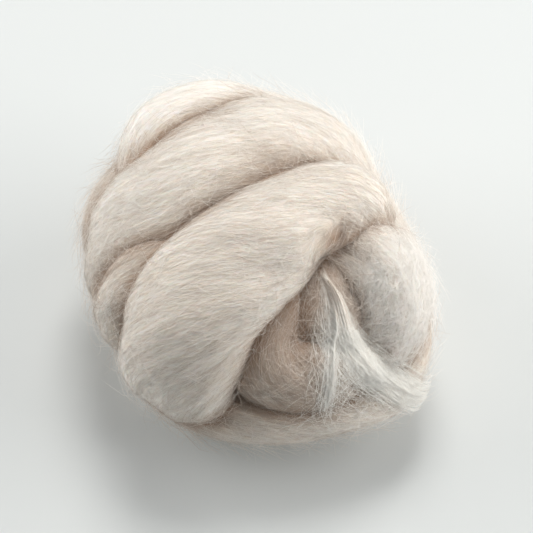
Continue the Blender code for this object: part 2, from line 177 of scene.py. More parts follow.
# Each wrap of the rope, as in the part's source: its creases, and its sections along its middle line, by
# clock and tilt, with the rise, width and thickness in whole millimetres.
MILLIMETRES = 1000
WRAPS = {
    "over_top": (Creases((60, 150, 290), 0.0017, 30, 1300), [
        (-20, 106, -15, 28, 19),
        (-6, 106, -15, 32, 20),
        (9, 104, -18, 34, 21),
        (25, 98, -22, 34, 22),
        (40, 91, -22, 32, 22),
        (53, 83, -17, 31, 22),
        (65, 78, -13, 35, 23),
        (77, 73, -11, 39, 23),
        (90, 67, -10, 42, 24),
        (104, 61, -10, 43, 24),
        (118, 57, -9, 43, 25),
        (133, 56, -9, 42, 25),
        (147, 58, -10, 42, 25),
        (159, 65, -11, 42, 25),
        (171, 75, -12, 41, 25),
        (182, 86, -12, 37, 23),
        (193, 96, -12, 32, 20),
    ]),
    "under_top": (Creases((70, 110, 250), 0.0012, 26, 1600), [
        (166, 38, -13, 14, 13),
        (180, 43, -10, 18, 17),
        (189, 53, -9, 21, 19),
        (196, 65, -10, 22, 19),
        (203, 78, -11, 22, 19),
        (211, 90, -13, 21, 17),
    ]),
    "across_front": (Creases((30, 120, 210, 300), 0.0020, 30, 2700), [
        (27, 55, -10, 23, 20),
        (31, 50, -8, 25, 22),
        (36, 44, -7, 27, 23),
        (41, 34, -7, 29, 25),
        (48, 20, -7, 31, 27),
        (72, 8, -7, 34, 28),
        (202, 14, -7, 39, 29),
        (217, 28, -7, 41, 29),
        (225, 41, -8, 41, 28),
        (231, 53, -9, 39, 27),
        (238, 64, -11, 36, 25),
        (244, 71, -13, 33, 23),
    ]),
    "right_lobe": (Creases((70, 160, 250, 340), 0.0015, 30, 900), [
        (8, 40, -12, 23, 19),
        (2, 47, -11, 27, 21),
        (-5, 54, -11, 30, 22),
        (-13, 61, -11, 33, 22),
        (-22, 68, -11, 34, 22),
        (-31, 74, -11, 34, 21),
        (-41, 80, -12, 31, 19),
    ]),
    "nest": (Creases((40, 140, 250), 0.0011, 28, 600), [
        (0, 30, -18, 22, 17),
        (-26, 29, -16, 27, 19),
        (-44, 34, -16, 29, 19),
        (-52, 44, -17, 28, 18),
    ]),
    "inner_lobe": (Creases((80, 130), 0.0012, 18, 400), [
        (-72, 22, -15, 25, 18),
        (-85, 30, -14, 28, 20),
        (-84, 38, -13, 29, 20),
        (-76, 46, -13, 29, 20),
        (-65, 54, -13, 28, 20),
        (-54, 62, -13, 27, 20),
        (-45, 69, -14, 25, 18),
    ]),
    "bottom_front": (Creases((60, 140, 270), 0.0013, 28, 1600), [
        (210, 106, -12, 26, 17),
        (224, 92, -9, 28, 18),
        (239, 80, -9, 28, 19),
        (254, 73, -9, 28, 19),
        (270, 70, -9, 28, 19),
        (286, 72, -8, 28, 19),
        (301, 76, -5, 28, 19),
        (314, 82, -2, 28, 19),
        (327, 90, -5, 28, 19),
        (342, 101, -11, 27, 18),
        (356, 112, -14, 26, 17),
    ]),
    "shoulder": (Creases((50, 150, 270), 0.0015, 28, 1600), [
        (20, 135, -17, 26, 20),
        (40, 129, -14, 30, 22),
        (58, 122, -13, 30, 23),
        (74, 114, -15, 29, 23),
        (87, 106, -14, 27, 22),
        (99, 98, -10, 27, 21),
        (110, 90, -5, 29, 21),
        (120, 86, -3, 31, 21),
        (129, 83, -3, 31, 21),
        (137, 81, -6, 29, 20),
    ]),
    "rim_left": (Creases((60, 150, 270), 0.0013, 28, 1600), [
        (108, 118, -12, 26, 19),
        (124, 110, -9, 28, 20),
        (138, 102, -11, 28, 20),
        (150, 96, -10, 28, 20),
        (162, 95, -8, 28, 20),
        (175, 99, -10, 28, 20),
        (188, 106, -12, 27, 18),
    ]),
    "across_back": (Creases((60, 150, 280), 0.0016, 30, 1600), [
        (4, 122, -15, 30, 20),
        (24, 136, -12, 36, 22),
        (55, 147, -11, 40, 24),
        (95, 144, -11, 42, 24),
        (122, 132, -10, 41, 24),
        (140, 121, -10, 38, 23),
        (156, 114, -11, 32, 22),
        (172, 112, -13, 28, 20),
    ]),
    "base_back": (Creases((60, 170, 280), 0.0013, 28, 1600), [
        (-20, 108, -12, 26, 17),
        (-10, 116, -9, 29, 18),
        (4, 128, -8, 31, 18),
        (26, 143, -8, 32, 18),
        (62, 155, -8, 32, 18),
        (110, 156, -8, 32, 18),
        (148, 146, -8, 32, 18),
        (173, 132, -8, 31, 18),
        (188, 120, -9, 29, 18),
        (198, 110, -12, 26, 17),
    ]),
}

# The closed loop of rope under the ball: its turn from +X, and its reach from the middle, height, width
# and thickness in millimetres.
FOOT = [
    (0, 32, 7, 24, 19),
    (50, 35, 6, 26, 18),
    (95, 36, 8, 25, 21),
    (140, 34, 6, 24, 18),
    (185, 31, 8, 26, 20),
    (230, 34, 6, 25, 18),
    (275, 36, 7, 23, 19),
    (318, 35, 6, 25, 18),
]
FOOT_CREASES = Creases((60, 180, 300), 0.0008, 30, 1600)
CORE_CREASES = Creases((90, 210, 330), 0.0010, 25, 1600)

# The loose end, from its root to its tips: the clock and tilt of its left edge, and of its right one.
# Places on it are shares of its length down it and of its width across it.
FAN = [
    (-20, 21, -13, 27),
    (-31, 25, -25, 33),
    (-43, 31, -36, 42),
    (-52, 37, -39, 52),
    (-61, 47, -40, 63),
    (-69, 60, -40, 77),
]

# The grid that reads the wraps' surface under it, which goes past its tips and its sides, and its own grid.
FAN_DOWNS = 64
FAN_ACROSSES = 49
FAN_PAST = 1.2
FAN_MARGIN = 0.25
GROUND_SMOOTHINGS = 10
FAN_ROWS = 61
FAN_COLUMNS = 46

# Its sheet: how thick it is, how its edge thins to a rim, the ridges under its bundles, and its streaks.
FAN_THICKNESS = 0.0006
FAN_RIM_THICKNESS = 0.0002
FAN_RIM_SMOOTHINGS = 3
FAN_RIDGE_HEIGHT = 0.0014
FAN_CLEARANCE = 0.0002
FAN_STREAKS = 11
FAN_STREAK_HEIGHT = 0.00015
FAN_STREAK_SWAY = 2
FAN_STREAK_RATE = 5
FAN_FLOW_SIZE = (0.03, 0.05)

# Where the sheet ends and how it is frayed there, how far down its root's painted shade goes and how dark it
# is, and where its threads begin to lift off it.
FAN_END = 0.93
FRAYS = (Fray(0.03, 37, 0), Fray(0.02, 91, 1))
FAN_ROOT = 0.50
FAN_ROOT_PAINTED_SHADE = 0.85
FAN_LIFT_FROM = 0.75
FAN_RAGGEDNESS = 0.03
FAN_SEED = 300

# Its bundles of threads, whose rows are how far down it they are and the bundle's left and right edges
# there, and the thin veil of threads round them. Their lengths, spread and wander are shares as well.
BUNDLES = {
    "right": Bundle(2250, 0.33, 0.0035, 1.12, (
        (0.00, 0.40, 0.75),
        (0.22, 0.26, 0.88),
        (0.36, 0.18, 0.96),
        (0.55, 0.24, 1.00),
        (0.68, 0.34, 1.00),
        (0.83, 0.50, 1.02),
        (0.95, 0.72, 1.05),
        (1.20, 1.02, 1.16),
    )),
    "left": Bundle(280, 0.55, 0.0010, 1.0, (
        (0.30, 0.22, 0.36),
        (0.61, 0.06, 0.17),
        (0.70, -0.02, 0.09),
        (0.81, -0.04, 0.06),
        (0.92, -0.04, 0.05),
        (1.20, -0.05, 0.05),
    )),
}
BUNDLE_START = 0.05
BUNDLE_FIBRE = Kind((0.25, 0.55), (30e-6, 60e-6), (1e-4, 6e-4), (0.0, 0.0012), 0.05, 0.014, 7, 0.84, 0.7)
VEIL_FIBRES = 650
VEIL_DOWN = (0.30, 1.10)
VEIL_ACROSS = (-0.15, 1.15)
VEIL_FIBRE = Kind((0.12, 0.35), (20e-6, 40e-6), (2e-4, 0.0012), (0.0, 0.0030), 0.55, 0.05, 7, 0.78, 0.7)

# The materials: a skin's streaks and patches, stretched along the flow, and its painted shade in a crease,
# with painted light on wraps set lighter. A thread's colour goes by its tone.
WHITE = (1.0, 1.0, 1.0)
WOOL_SKIN = Finish(0.95, 0.3, 0.6)
TIP_SKIN = Finish(0.95, 0.3, 0.0)
THREAD = Finish(0.90, 0.2, 0.0)
FLOOR = Finish(0.70, 0.0, 0.0)
SPECULAR = 0.2
SHEEN_ROUGHNESS = 0.6
SCATTER_REACHES = (1.0, 0.7, 0.5)
SCATTER_DEPTH = 0.0018
STREAKS = Noise(1900.0, 4.0, 1.1)
PATCHES = Noise(300.0, 2.0, 0.0)
STRETCH = (1.0, 1.0, 0.11)
BUMP_STRENGTH = 0.5
BUMP_HEIGHT = 0.0003
STREAK_PLACES = (0.34, 0.52, 0.70)
WOOL_TONES = ((0.69, 0.62, 0.55), (0.87, 0.81, 0.735), (0.94, 0.90, 0.845))
TIP_TONES = ((0.87, 0.84, 0.79), (0.93, 0.915, 0.865), (0.98, 0.975, 0.93))
PATCH_STOPS = [(0.35, (0.91, 0.89, 0.87)), (0.65, WHITE)]
# Painted shade, darker and warmer in creases and hollows; the first stop is painted light, for wraps set
# lighter and for the loose end's sheet away from its root.
PAINTED_LIGHT_AND_SHADE_STOPS = [
    (0.0, (1.09, 1.11, 1.13)),
    (0.10, WHITE),
    (0.60, (0.83, 0.785, 0.74)),
    (1.0, (0.47, 0.34, 0.26)),
]
# The dark low end of these ramps is where painted shade lowers a thread's tone.
FIBRE_STOPS = [(0.0, (0.47, 0.35, 0.27)), (0.5, (0.87, 0.81, 0.735)), (1.0, (0.96, 0.93, 0.885))]
TIP_FIBRE_STOPS = [(0.0, (0.62, 0.52, 0.44)), (0.5, (0.92, 0.89, 0.83)), (1.0, (1.0, 0.99, 0.94))]

# The setting, and the camera: where the picture's middle lies from the ball's, to the right and up its face.
FLOOR_SIZE = 3.0
FLOOR_COLOUR = (0.68, 0.702, 0.698)
SKY_COLOUR = (0.93, 0.97, 1.0)
SKY_STRENGTH = 0.25
LAMP_COLOUR = (1.0, 0.985, 0.96)
LAMPS = (
    Lamp("window", (0.05, 0.32, 0.84), 0.34, 4.5),
    Lamp("room_right", (0.85, 0.0, 0.34), 0.9, 8.8),
    Lamp("room_left", (-0.75, 0.18, 0.36), 0.7, 4.0),
)
PHOTO_WIDTH = 533
METRES_PER_PIXEL = 0.00032
CAMERA_DISTANCE = 0.5
SENSOR_WIDTH = 36.0
VIEW_OFFSET = (0.00144, -0.00208)


def unit(vectors):
    return vectors / np.linalg.norm(vectors, axis=-1, keepdims=True)


def dot(a, b):
    return np.sum(a * b, axis=-1)


def square_to(vector, axis):
    """The part of the vector that is square to the axis."""
    return vector - axis * dot(vector, axis)[..., None]


def smooth_step(share):
    share = np.clip(share, 0.0, 1.0)
    return share * share * (3 - 2 * share)


def between(draw, bounds, size):
    return draw.uniform(*bounds, size)


def half_turn(angle):
    """The angle brought to within half a turn of nought."""
    return (angle + pi) % (2 * pi) - pi


def neighbours(padded):
    """The mean of each cell's four neighbours, from a grid with one more cell on every side."""
    return (padded[:-2, 1:-1] + padded[2:, 1:-1] + padded[1:-1, :-2] + padded[1:-1, 2:]) / 4


# The dial's own axes: to its right, up its face, and out of it towards the viewer.
LIFT = radians(FACE_ELEVATION)
ACROSS = np.array([1.0, 0.0, 0.0])
UP_FACE = np.array([0.0, sin(LIFT), cos(LIFT)])
OUTWARD = np.array([0.0, -cos(LIFT), sin(LIFT)])
UP = np.array([0.0, 0.0, 1.0])
MIDDLE = np.array(BALL_MIDDLE)
HALF_SIZES = np.array([BALL_WIDTH, BALL_DEPTH, BALL_HEIGHT]) / 2


def direction(clock, tilt):
    turn, lean = radians(clock), radians(tilt)
    return ACROSS * sin(lean) * cos(turn) + UP_FACE * sin(lean) * sin(turn) + OUTWARD * cos(lean)


def ball_point(clock, tilt, rise):
    """The point in that direction from the middle, that far above the nominal ellipsoid."""
    ray = direction(clock, tilt)
    return MIDDLE + ray * (1.0 / np.linalg.norm(ray / HALF_SIZES) + rise)


def outward_normal(points):
    return unit((points - MIDDLE) / HALF_SIZES**2)


def above_floor(points):
    return np.maximum(points, (-np.inf, -np.inf, FLOOR_GAP))


# ---- the strands' middle lines and rings


def tuck_rows(end, inner):
    """The rows by which a strand turns down into the ball past its end row, growing thinner."""
    onward = unit(end[:3] - inner[:3])
    inward = -unit(square_to(outward_normal(end[:3]), onward))
    rows = []
    for angle, size in zip(TUCK_ANGLES, TUCK_SIZES):
        turn = radians(angle)
        point = end[:3] + TUCK_RADIUS * (onward * sin(turn) + inward * (1.0 - cos(turn)))
        rows.append(np.array([*point, *end[3:] * size]))
    return rows


def runs_along(points):
    """How far along the line each of its points is."""
    steps = np.linalg.norm(np.diff(points, axis=0), axis=1)
    return np.concatenate([[0.0], np.cumsum(steps)])


def smooth_rows(rows, pitch):
    """Rows along a Catmull-Rom curve through the given ones, a pitch apart."""
    padded = np.vstack([2 * rows[0] - rows[1], rows, 2 * rows[-1] - rows[-2]])
    fine = []
    for before, start, end, after in zip(padded, padded[1:], padded[2:], padded[3:]):
        for t in np.linspace(0.0, 1.0, CURVE_STEPS, endpoint=False):
            bend = 2 * before - 5 * start + 4 * end - after
            swing = 3 * (start - end) + after - before
            fine.append(start + 0.5 * t * ((end - before) + t * (bend + t * swing)))
    fine = np.array(fine + [rows[-1]])
    run = runs_along(fine[:, :3])
    places = np.linspace(0.0, run[-1], round(run[-1] / pitch) + 1)
    return np.column_stack([np.interp(places, run, column) for column in fine.T])


def ring_lifts(points):
    """The direction out of the ball at each ring, carried from the middle ring to both ends."""
    along = unit(np.gradient(points, axis=0))
    middle = len(points) // 2
    lifts = np.zeros_like(points)
    lifts[middle] = unit(square_to(outward_normal(points[middle]), along[middle]))
    onward = [(here, here - 1) for here in range(middle + 1, len(points))]
    backward = [(here, here + 1) for here in range(middle - 1, -1, -1)]
    for here, before in onward + backward:
        wanted = square_to(outward_normal(points[here]), along[here])
        kept = square_to(lifts[before], along[here])
        lifts[here] = unit(wanted * np.linalg.norm(wanted) + FRAME_MEMORY * kept)
    return lifts


def strand_of(name, seed, centre, lift, widths, thicknesses, creases, closed=False):
    """A strand from its middle line, the way out at each ring, and its rings' sizes."""
    if closed:
        along = unit(np.gradient(np.vstack([centre[-2], centre, centre[1]]), axis=0)[1:-1])
    else:
        along = unit(np.gradient(centre, axis=0))
    lift = unit(square_to(lift, along))
    run, side = runs_along(centre), np.cross(along, lift)
    return Strand(name, run, centre, along, side, lift, widths / 2, thicknesses / 2, creases, seed, closed)


def wrap_strand(name, seed):
    """One wrap's rings, with the same line and frames as the solid's, only closer together."""
    creases, sections = WRAPS[name]
    rows = []
    for clock, tilt, *sizes in sections:
        rise, *size = np.array(sizes) / MILLIMETRES
        rows.append(np.array([*ball_point(clock, tilt, rise), *size]))
    rows = tuck_rows(rows[0], rows[1])[::-1] + rows + tuck_rows(rows[-1], rows[-2])
    rows = smooth_rows(rows, FRAME_PITCH)
    rows = smooth_rows(np.column_stack([rows, ring_lifts(rows[:, :3])]), RING_PITCH)
    return strand_of(name, seed, rows[:, :3], rows[:, 5:], rows[:, 3], rows[:, 4], creases)


def foot_strand(seed):
    """The closed loop under the ball, whose last ring is its first one again."""
    table = np.array([*FOOT, (FOOT[0][0] + 360.0, *FOOT[0][1:])])
    table[:, 1:] /= MILLIMETRES
    count = round(2 * pi * np.mean(table[:, 1]) / RING_PITCH)
    turns = 360.0 * np.arange(count + 1) / count
    reach, height, width, thickness = [np.interp(turns, table[:, 0], column) for column in table.T[1:]]
    x = MIDDLE[0] + FOOT_OFFSET[0] + reach * np.cos(np.radians(turns))
    y = MIDDLE[1] + FOOT_OFFSET[1] + reach * np.sin(np.radians(turns))
    centre = np.column_stack([x, y, height])
    return strand_of("foot", seed, centre, UP, width, thickness, FOOT_CREASES, closed=True)


def core_strand(seed):
    """The fibre inside the wraps, as rings from the front to the back of its ellipsoid."""
    half_width, half_length, half_height = CORE_HALF_SIZES
    places = np.linspace(-CORE_END, CORE_END, round(2 * half_length / RING_PITCH))
    size = np.sqrt(1.0 - places**2)
    centre = MIDDLE + CORE_OFFSET + np.outer(places * half_length, [0.0, 1.0, 0.0])
    return strand_of("core", seed, centre, UP, 2 * half_width * size, 2 * half_height * size, CORE_CREASES)


def mean_radius(strand):
    return np.mean(strand.half_width + strand.half_thickness) / 2


def twist_rate(strand):
    """The rope's twist in radians for each metre; a closed loop takes a whole number of turns."""
    rate = radians(strand.creases.twist)
    if strand.closed:
        rate = 2 * pi * round(rate * strand.run[-1] / (2 * pi)) / strand.run[-1]
    return rate


# ---- a strand's surface


def flow_angle(strand, run, around):
    """Which lock of fibre passes this place: the angle stays the same all along a lock."""
    rate = twist_rate(strand)
    pinch = PINCHES.get(strand.name)
    if pinch is None:
        return around + rate * run
    at = radians(pinch.around)
    aside = half_turn(around - at)
    ahead = run - pinch.run
    radius = mean_radius(strand)
    away = np.hypot(ahead, radius * aside)
    share = 1.0 - smooth_step((away - PINCH_NEAR) / (PINCH_FAR - PINCH_NEAR))
    radial = np.arctan2(ahead, -radius * aside) + rate * pinch.run
    return at + (1.0 - share) * (aside + rate * run) + share * radial


def heading(strand, run, around):
    """The direction of the fibres at a place: how it moves along the strand, and around it in metres."""
    turn = FLOW_PROBE / mean_radius(strand)
    up_run = flow_angle(strand, run + FLOW_PROBE, around) - flow_angle(strand, run - FLOW_PROBE, around)
    up_around = flow_angle(strand, run, around + turn) - flow_angle(strand, run, around - turn)
    length = np.maximum(np.hypot(up_run, up_around), 1e-12)
    return up_around / length, -up_run / length


def lock_height(strand, run, around):
    """How far the locks of fibre stand out at this place."""
    draw = np.random.default_rng(strand.seed)
    flow = flow_angle(strand, run, around)
    height = np.zeros(np.shape(flow))
    for lock in LOCKS:
        start, drift, swell = draw.uniform(0, 2 * pi, 3)
        near, far = between(draw, LOCK_LENGTHS, 2)
        if strand.closed:
            near = far = strand.run[-1]
        phase = lock.count * flow + start + LOCK_SWAY * np.sin(2 * pi * run / near + drift)
        size = 1.0 - LOCK_SWELL + LOCK_SWELL * np.sin(2 * pi * run / far + swell)
        height = height + lock.height * size * np.cos(phase)
    return height


def crease_depth(strand, run, around):
    """How far the twist's creases cut in at this place."""
    angle = np.degrees(around + twist_rate(strand) * run)
    share = np.zeros(np.shape(angle))
    for crease in strand.creases.angles:
        gap = (angle - crease + 180.0) % 360.0 - 180.0
        share = np.maximum(share, smooth_step(1.0 - np.abs(gap) / strand.creases.spread))
    return CREASE_SOFTENING * strand.creases.depth * share


def hollow_share(strand, run, around):
    """How near a place is to the strand's hollow: 1 in its middle, 0 past its reach."""
    hollow = HOLLOWS.get(strand.name)
    if hollow is None:
        return np.zeros(np.shape(around))
    aside = half_turn(around - radians(hollow.around))
    away = np.hypot(run - hollow.run, mean_radius(strand) * aside)
    return smooth_step(1.0 - away / hollow.reach)


def surface(strand, run, around, rise=0.0):
    """Points at these places on the strand, that far above its skin."""
    rings = [strand.centre, strand.along, strand.lift, strand.half_width, strand.half_thickness]
    columns = np.column_stack(rings).T
    found = np.stack([np.interp(run, strand.run, column) for column in columns], axis=-1)
    centre, along, lift = found[..., :3], unit(found[..., 3:6]), found[..., 6:9]
    lift = unit(square_to(lift, along))
    out = rise + lock_height(strand, run, around) - crease_depth(strand, run, around)
    if strand.name in HOLLOWS:
        out = out - HOLLOWS[strand.name].depth * hollow_share(strand, run, around)
    across = np.cos(around) * np.maximum(found[..., 9] + out, 0.0)
    above = np.sin(around) * np.maximum(found[..., 10] + out, 0.0)
    return centre + np.cross(along, lift) * across[..., None] + lift * above[..., None]


# ---- what lies near what


def gap_to(points, other):
    """Roughly how far each point is outside the other strand; below nought it is inside."""
    if other.name == "core":
        scaled = (points - MIDDLE - CORE_OFFSET) / CORE_HALF_SIZES
        return (np.linalg.norm(scaled, axis=-1) - 1.0) * min(CORE_HALF_SIZES)
    centres = other.centre.astype(np.float32)
    far = (centres**2).sum(axis=1) - 2 * points.astype(np.float32) @ centres.T
    nearest = np.argmin(far, axis=1)
    offset = points - other.centre[nearest]
    half_width, half_thickness = other.half_width[nearest], other.half_thickness[nearest]
    across = dot(offset, other.side[nearest]) / half_width
    above = dot(offset, other.lift[nearest]) / half_thickness
    gap = (np.hypot(across, above) - 1.0) * np.minimum(half_width, half_thickness)
    past_end = np.abs(dot(offset, other.along[nearest])) - RING_PITCH
    return np.maximum(gap, past_end)


def painted_shade_and_gap(strand, strands, run, around, points):
    """How deep in the ball each place looks, as painted shade from 0 in the open to 1 in a crease, and its
    gap.
    """
    gap = np.min([gap_to(points, other) for other in strands if other is not strand], axis=0)
    share = np.clip(1.0 - gap / PAINTED_SHADE_REACH, 0.0, 1.0)
    share = np.maximum(share, hollow_share(strand, run, around))
    painted_shade = PAINTED_LIGHT_AND_SHADE.get(strand.name, OPEN_PAINTED_SHADE)
    return painted_shade + (1.0 - painted_shade) * share, gap


# ---- meshes


def add_object(name, data):
    thing = bpy.data.objects.new(name, data)
    bpy.context.scene.collection.objects.link(thing)
    return thing


def new_piece(name, points, faces, material):
    mesh = bpy.data.meshes.new(name)
    mesh.from_pydata(points.tolist(), [], faces)
    mesh.materials.append(material)
    mesh.polygons.foreach_set("use_smooth", np.ones(len(mesh.polygons), dtype=bool))
    piece = add_object(name, mesh)
    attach(piece, BODY)
    return piece


def set_map(piece, corners):
    """The piece's own map, from one pair of numbers for each face corner."""
    layer = piece.data.uv_layers.new(name="OFBake", do_init=False)
    layer.uv.foreach_set("vector", corners.astype(np.float32).ravel())


def set_numbers(piece, name, values):
    """A named number or vector at each vertex, which the material reads."""
    kind, field = ("FLOAT", "value") if values.ndim == 1 else ("FLOAT_VECTOR", "vector")
    layer = piece.data.attributes.new(name, kind, "POINT")
    layer.data.foreach_set(field, values.astype(np.float32).ravel())


def ring_faces(rings, sides, closed):
    """Quads between the rings, and each quad's corners as ring and side, counted past the seam."""
    ring, side = np.meshgrid(np.arange(rings if closed else rings - 1), np.arange(sides), indexing="ij")
    corners = np.stack([ring, side], axis=-1).reshape(-1, 1, 2) + [[0, 0], [1, 0], [1, 1], [0, 1]]
    quads = corners[..., 0] % rings * sides + corners[..., 1] % sides
    return quads, corners


def end_caps(rings, tip):
    """Each open end's tip, the faces from its last ring to it, and their corners' places on the map."""
    count, sides = rings.shape[:2]
    tips, faces, maps = [], [], []
    for end, inner, first, place in ((0, 1, 0, 0.0), (-1, -2, (count - 1) * sides, 1.0)):
        middle, before = rings[end].mean(axis=0), rings[inner].mean(axis=0)
        tips.append(middle + (middle - before) * TIP_SHARE)
        order = (1, 0) if end == 0 else (0, 1)
        for side in range(sides):
            pair = [side + step for step in order]
            faces.append((*[first + corner % sides for corner in pair], tip))
            maps += [(place, corner / sides) for corner in pair]
            maps.append((place, (side + 0.5) / sides))
        tip += 1
    return tips, faces, maps


def strand_piece(strand, strands, material):
    """The strand's closed skin, with what its material reads at each vertex."""
    run = strand.run[:-1] if strand.closed else strand.run
    around = 2 * pi * np.arange(STRAND_SIDES) / STRAND_SIDES - pi / 2
    runs, arounds = [grid.ravel() for grid in np.meshgrid(run, around, indexing="ij")]
    skin = above_floor(surface(strand, runs, arounds))
    quads, corners = ring_faces(len(run), STRAND_SIDES, strand.closed)
    maps = (corners / [len(run), STRAND_SIDES]).reshape(-1, 2)
    points, faces = skin, quads.tolist()
    if not strand.closed:
        tips, cap_faces, cap_maps = end_caps(skin.reshape(len(run), STRAND_SIDES, 3), len(skin))
        points, faces, maps = np.vstack([skin, tips]), faces + cap_faces, np.vstack([maps, cap_maps])
    piece = new_piece(strand.name, points, faces, material)
    set_map(piece, MAP_MARGIN + (1 - 2 * MAP_MARGIN) * np.clip(maps, 0.0, 1.0))
    flow = flow_angle(strand, runs, arounds)
    radius = mean_radius(strand)
    down = runs + strand.seed
    if strand.closed:
        down = strand.run[-1] * np.sin(2 * pi * runs / strand.run[-1]) / (2 * pi)
    place = np.column_stack([radius * np.cos(flow), radius * np.sin(flow), down])
    depth = painted_shade_and_gap(strand, strands, runs, arounds, skin)[0]
    more = len(points) - len(skin)
    set_numbers(piece, "flow", np.vstack([place, np.tile(place[-1], (more, 1))]))
    # The "crease" number is painted shade for the material; the caps' tips are painted fully shaded.
    set_numbers(piece, "crease", np.concatenate([depth, np.ones(more)]))
    return piece


# ---- fibres


def thread_pattern(steps):
    """The faces of one closed thread, pointed at both ends, and each vertex's place down and round it."""
    sides = THREAD_SIDES
    last = sides * (steps - 2) + 1
    tips, quads = [], []
    for side in range(sides):
        beside = (side + 1) % sides
        tips.append((0, 1 + side, 1 + beside))
        tips.append((last, last - sides + beside, last - sides + side))
    for low in range(1, last - sides, sides):
        high = low + sides
        for side in range(sides):
            beside = (side + 1) % sides
            quads.append((low + side, high + side, high + beside, low + beside))
    down = np.concatenate([[0.0], np.repeat(np.arange(1, steps - 1), sides), [steps - 1.0]]) / (steps - 1)
    across = np.concatenate([[1], np.tile(np.arange(sides), steps - 2), [1]])
    return np.array(tips), np.array(quads), down, across


def all_rings(first, rings, last):
    """The thread's vertices: its first tip, its rings in order, and its last tip."""
    inner = np.stack(rings, axis=2)[:, 1:-1].reshape(len(first), -1, 3)
    return np.concatenate([first[:, None], inner, last[:, None]], axis=1)


def facing(outward, kind):
    """The way a kind's threads face: out of the rope, and those that stand off it more to the sky."""
    return unit(outward + kind.skyward * UP)


def fibre_piece(name, paths, outward, radii, tones, material):
    """Threads along the paths, lit as the skin under them is, each with its tone as its place on the map."""
    paths = above_floor(paths)
    count, steps = paths.shape[:2]
    along = unit(np.gradient(paths, axis=1))
    across = unit(np.cross(along, outward))
    above = np.cross(across, along)
    rings, lights = [], []
    for side in range(THREAD_SIDES):
        turn = 2 * pi * (side + THREAD_TURN) / THREAD_SIDES
        spoke = across * cos(turn) + above * sin(turn)
        rings.append(paths + spoke * radii[:, None, None])
        lights.append(unit(outward + THREAD_ROUNDNESS * spoke))
    points = all_rings(paths[:, 0], rings, paths[:, -1])
    normals = all_rings(outward[:, 0], lights, outward[:, -1])
    tips, quads, down, aside = thread_pattern(steps)
    first = points.shape[1] * np.arange(count)[:, None, None]
    faces = (first + tips).reshape(-1, 3).tolist() + (first + quads).reshape(-1, 4).tolist()
    piece = new_piece(name, points.reshape(-1, 3), faces, material)
    maps = []
    for pattern in (tips, quads):
        across = aside[pattern].astype(float)
        past_seam = (np.ptp(across, axis=1, keepdims=True) > 1) & (across == 0)
        across = np.where(past_seam, float(THREAD_SIDES), across)
        u = MAP_MARGIN + TONE_WIDTH * tones[:, None, None] + SIDE_WIDTH * across
        v = np.broadcast_to(THREAD_MARGIN + (1 - 2 * THREAD_MARGIN) * down[pattern], u.shape)
        maps.append(np.stack([u, v], axis=-1).reshape(-1, 2))
    set_map(piece, np.concatenate(maps))
    piece.data.normals_split_custom_set_from_vertices(normals.reshape(-1, 3).tolist())
    return piece


def traced(strand, run, around, length, lean, steps):
    """Places along fibres that start at the given places and follow the flow, turned by their lean."""
    radius = mean_radius(strand)
    step = length / (steps - 1)
    places = [(run, around)]
    for _ in range(steps - 1):
        ahead, aside = heading(strand, run, around)
        run = run + step * (ahead * np.cos(lean) - aside * np.sin(lean))
        around = around + step * (aside * np.cos(lean) + ahead * np.sin(lean)) / radius
        run = run % strand.run[-1] if strand.closed else np.clip(run, 0.0, strand.run[-1])
        places.append((run, around))
    return np.moveaxis(np.array(places), 0, -1)


def fibres(strand, strands, label, kind, count, draw, material):
    """One kind of a strand's fibres, those of them whose middle nothing covers."""
    tries = TRIES * count
    run = draw.uniform(0.0, strand.run[-1], tries)
    around = draw.uniform(-pi, pi, tries)
    length = between(draw, kind.lengths, tries)
    lean = np.radians(draw.normal(0.0, kind.spread, tries))
    runs, arounds = traced(strand, run, around, length, lean, kind.steps)
    middle = kind.steps // 2
    point = surface(strand, runs[:, middle], arounds[:, middle])
    depth, gap = painted_shade_and_gap(strand, strands, runs[:, middle], arounds[:, middle], point)
    kept = np.flatnonzero((gap > -BURIED_DEPTH) & (point[:, 2] > 4 * FLOOR_GAP))[:count]
    count = len(kept)
    t = np.linspace(0.0, 1.0, kind.steps)
    hump = 4 * t * (1 - t)
    bow, stand = between(draw, kind.bows, count), between(draw, kind.stands, count)
    rise = bow[:, None] * hump + stand[:, None] * t**2 - ROOT_DEPTH * (1 - hump)
    wander = np.cumsum(draw.normal(0.0, kind.wander, (count, kind.steps)), axis=1)
    arounds = arounds[kept] + wander / mean_radius(strand)
    paths = surface(strand, runs[kept], arounds, rise)
    outward = facing(unit(paths - surface(strand, runs[kept], arounds, rise - OUT_PROBE)), kind)
    # Painted shade: a thread's tone falls where the skin under its middle is painted darker.
    tones = np.clip(draw.normal(kind.tone, TONE_SPREAD, count) - PAINTED_SHADE_FALL * depth[kept], 0.0, 1.0)
    radii = between(draw, kind.radii, count)
    fibre_piece(f"{label}_{strand.name}", paths, outward, radii, tones, material)


def dress(strand, strands, material):
    """The coat of a strand, and the fibres that cross it and stand off it."""
    draw = np.random.default_rng(FIBRE_SEED + strand.seed)
    for (label, kind), count in zip(KINDS.items(), FIBRES[strand.name]):
        if count:
            fibres(strand, strands, label, kind, count, draw, material)


# ---- the loose end


def fan_rays(down, across):
    """Directions over the loose end: down it from root to tips, and across it from left to right."""
    table = np.array([[*direction(*row[:2]), *direction(*row[2:])] for row in FAN])
    table = np.vstack([2 * table[0] - table[1], table, 2 * table[-1] - table[-2]])
    rows = np.arange(-1, len(FAN) + 1) / (len(FAN) - 1)
    edges = np.stack([np.interp(down, rows, column) for column in table.T], axis=-1)
    return unit(edges[..., :3] * (1 - across[..., None]) + edges[..., 3:] * across[..., None])


